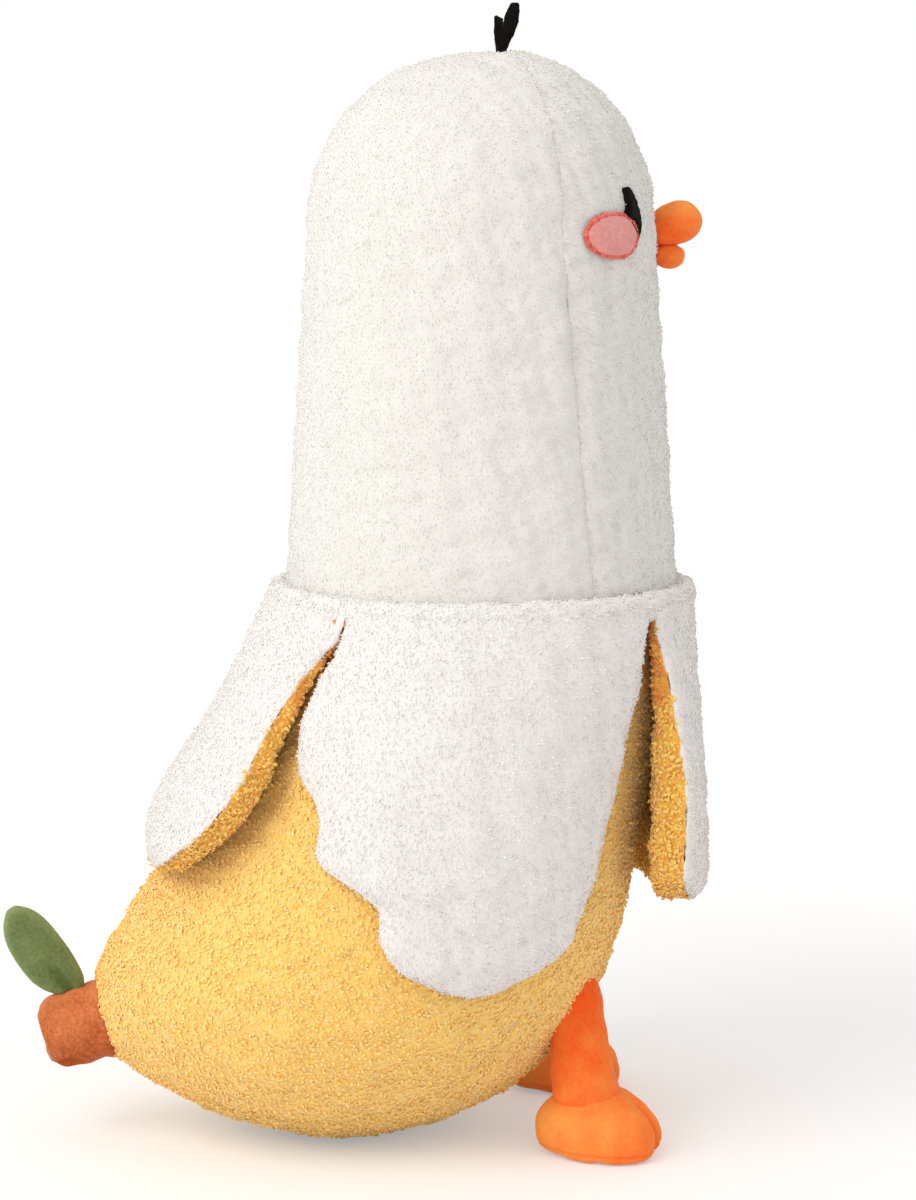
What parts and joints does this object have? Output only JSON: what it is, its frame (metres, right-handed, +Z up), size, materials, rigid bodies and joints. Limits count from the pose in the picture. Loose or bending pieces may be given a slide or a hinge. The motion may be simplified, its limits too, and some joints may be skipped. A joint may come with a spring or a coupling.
{
  "type": "plush duck",
  "caption": "Upright soft toy duck in a half-peeled banana costume, with drooping peel petals, a tall rounded head, stuffed legs and a stem with a leaf at the tail.",
  "frame": {"origin": "on the floor, at the flat patch under the belly that the toy rests on", "axes": "+Z up along the tall head, -Y the way the duck faces, +Y towards the stem at the tail, -X the duck's right side"},
  "size_m": [0.2152, 0.3169, 0.4997],
  "materials": {
    "white_fleece": "looped white fleece",
    "peel_white_fleece": "looped off-white fleece",
    "yellow_fleece": "looped yellow fleece",
    "yellow_lining": "looped deep yellow fleece",
    "fibre": "white fibre filling",
    "orange_velvet": "short-napped orange velvet",
    "stem_velvet": "short-napped brown-orange velvet",
    "leaf_velvet": "short-napped green velvet",
    "black_felt": "black felt",
    "pink_plush": "pink plush",
    "red_thread": "red satin stitching"
  },
  "bodies": {
    "trunk": {"head_front_panel": "white_fleece", "head_back_panel_right": "white_fleece", "head_back_panel_left": "white_fleece", "head_stuffing": "fibre", "peel_collar": "peel_white_fleece", "body_belly_panel": "yellow_fleece", "body_right_panel": "yellow_fleece", "body_left_panel": "yellow_fleece", "body_stuffing": "fibre", "stem_sleeve": "stem_velvet", "stem_end_cap": "stem_velvet", "stem_stuffing": "fibre", "beak_upper_cover": "orange_velvet", "beak_upper_stuffing": "fibre", "beak_lower_cover": "orange_velvet", "beak_lower_stuffing": "fibre", "right_eye": "black_felt", "right_cheek_patch": "pink_plush", "right_cheek_stitching": "red_thread", "left_eye": "black_felt", "left_cheek_patch": "pink_plush", "left_cheek_stitching": "red_thread"},
    "front_petal": {"front_petal_white_ply": "peel_white_fleece", "front_petal_wadding": "fibre", "front_petal_yellow_ply": "yellow_lining"},
    "back_petal": {"back_petal_white_ply": "peel_white_fleece", "back_petal_wadding": "fibre", "back_petal_yellow_ply": "yellow_lining"},
    "right_petal": {"right_petal_white_ply": "peel_white_fleece", "right_petal_wadding": "fibre", "right_petal_yellow_ply": "yellow_lining"},
    "left_petal": {"left_petal_white_ply": "peel_white_fleece", "left_petal_wadding": "fibre", "left_petal_yellow_ply": "yellow_lining"},
    "right_leg": {"right_leg_sleeve": "orange_velvet", "right_leg_stuffing": "fibre"},
    "left_leg": {"left_leg_sleeve": "orange_velvet", "left_leg_stuffing": "fibre"},
    "right_foot": {"right_foot_upper": "orange_velvet", "right_foot_stuffing": "fibre", "right_foot_sole": "orange_velvet"},
    "left_foot": {"left_foot_upper": "orange_velvet", "left_foot_stuffing": "fibre", "left_foot_sole": "orange_velvet"},
    "leaf": {"leaf_right_ply": "leaf_velvet", "leaf_wadding": "fibre", "leaf_left_ply": "leaf_velvet"},
    "tuft": {"hair_tuft": "black_felt"}
  },
  "joints": [
    {"name": "front_petal_lift", "type": "hinge", "parent": "trunk", "child": "front_petal", "pos_m": [0, -0.16422, 0.23515], "axis": [-1, 0, 0], "range_deg": [0, 150]},
    {"name": "back_petal_lift", "type": "hinge", "parent": "trunk", "child": "back_petal", "pos_m": [0, 0.03007, 0.23812], "axis": [1, 0, 0], "range_deg": [0, 150]},
    {"name": "right_petal_lift", "type": "hinge", "parent": "trunk", "child": "right_petal", "pos_m": [-0.09484, -0.06707, 0.23664], "axis": [0, 1, 0], "range_deg": [0, 150]},
    {"name": "left_petal_lift", "type": "hinge", "parent": "trunk", "child": "left_petal", "pos_m": [0.09484, -0.06707, 0.23664], "axis": [0, -1, 0], "range_deg": [0, 150]},
    {"name": "right_hip_swing", "type": "hinge", "parent": "trunk", "child": "right_leg", "pos_m": [-0.03835, -0.10416, 0.06682], "axis": [-1, 0, 0], "range_deg": [-2, 45], "stiffness_Nm_per_rad": 1.5},
    {"name": "left_hip_swing", "type": "hinge", "parent": "trunk", "child": "left_leg", "pos_m": [0.03835, -0.10416, 0.06682], "axis": [-1, 0, 0], "range_deg": [-2, 45], "stiffness_Nm_per_rad": 1.5},
    {"name": "right_ankle_tilt", "type": "hinge", "parent": "right_leg", "child": "right_foot", "pos_m": [-0.05035, -0.10816, 0.026], "axis": [-0.9903, 0.1392, 0], "range_deg": [-20, 20], "stiffness_Nm_per_rad": 0.8},
    {"name": "left_ankle_tilt", "type": "hinge", "parent": "left_leg", "child": "left_foot", "pos_m": [0.05035, -0.10816, 0.026], "axis": [-0.9903, -0.1392, 0], "range_deg": [-20, 20], "stiffness_Nm_per_rad": 0.8},
    {"name": "leaf_bend", "type": "hinge", "parent": "trunk", "child": "leaf", "pos_m": [0, 0.11637, 0.06812], "axis": [0, 0.968, -0.2508], "range_deg": [-25, 25], "stiffness_Nm_per_rad": 0.05},
    {"name": "tuft_bend", "type": "hinge", "parent": "trunk", "child": "tuft", "pos_m": [0, -0.07699, 0.4794], "axis": [0, 1, 0], "range_deg": [-20, 20], "stiffness_Nm_per_rad": 0.02}
  ]
}
